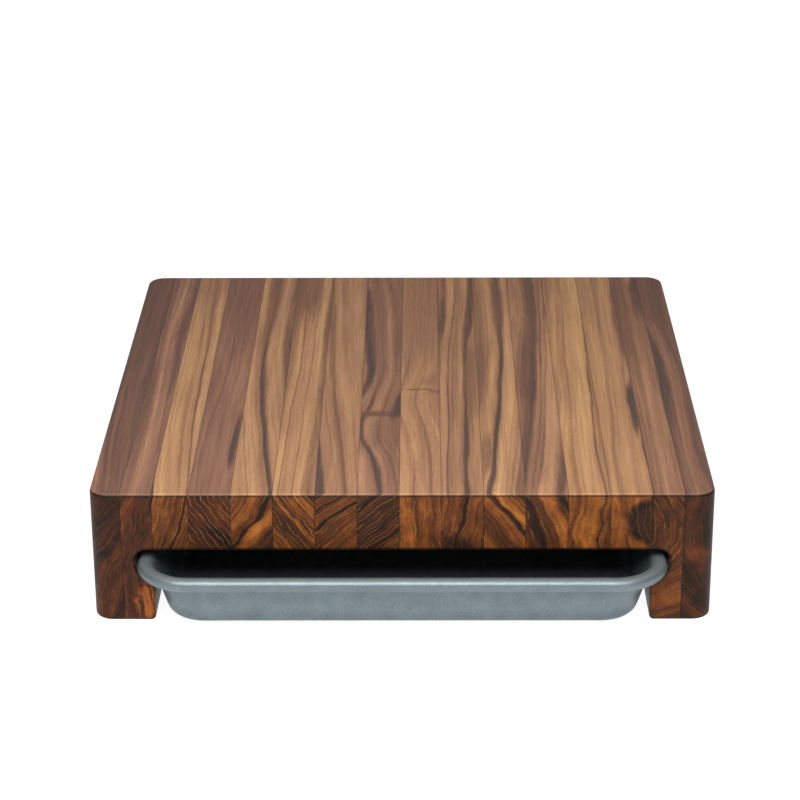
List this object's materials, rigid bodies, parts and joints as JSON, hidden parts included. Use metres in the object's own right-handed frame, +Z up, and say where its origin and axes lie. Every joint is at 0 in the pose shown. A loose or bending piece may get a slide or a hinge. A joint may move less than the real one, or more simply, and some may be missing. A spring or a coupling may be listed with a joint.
{
  "type": "cutting board with drawer tray",
  "caption": "Raised teak block cutting board on two full-length side legs, with a shallow rolled-rim aluminium tray sliding through the channel beneath it.",
  "frame": {"origin": "middle of the board's footprint, on the surface that it stands on", "axes": "+X across the staves to the right, +Y along the staves and the tray's slide, away from the front, +Z up"},
  "size_m": [0.387, 0.45, 0.087],
  "materials": {
    "teak": "oiled teak, sanded smooth, satin",
    "tray_aluminium": "natural drawn sheet aluminium, matte",
    "rim_wire_steel": "plain drawn steel rod"
  },
  "bodies": {
    "board": {"leg_stave_left_outer": "teak", "leg_stave_left_inner": "teak", "leg_stave_right_inner": "teak", "leg_stave_right_outer": "teak", "slab_stave_01": "teak", "slab_stave_02": "teak", "slab_stave_03": "teak", "slab_stave_04": "teak", "slab_stave_05": "teak", "slab_stave_06": "teak", "slab_stave_07": "teak", "slab_stave_08": "teak", "slab_stave_09": "teak", "slab_stave_10": "teak", "slab_stave_11": "teak", "slab_stave_12": "teak"},
    "tray": {"tray_pan": "tray_aluminium", "tray_rim_wire": "rim_wire_steel"}
  },
  "joints": [
    {"name": "tray_slide", "type": "slide", "parent": "board", "child": "tray", "axis": [0, -1, 0], "range_m": [-0.4, 0.4]}
  ]
}
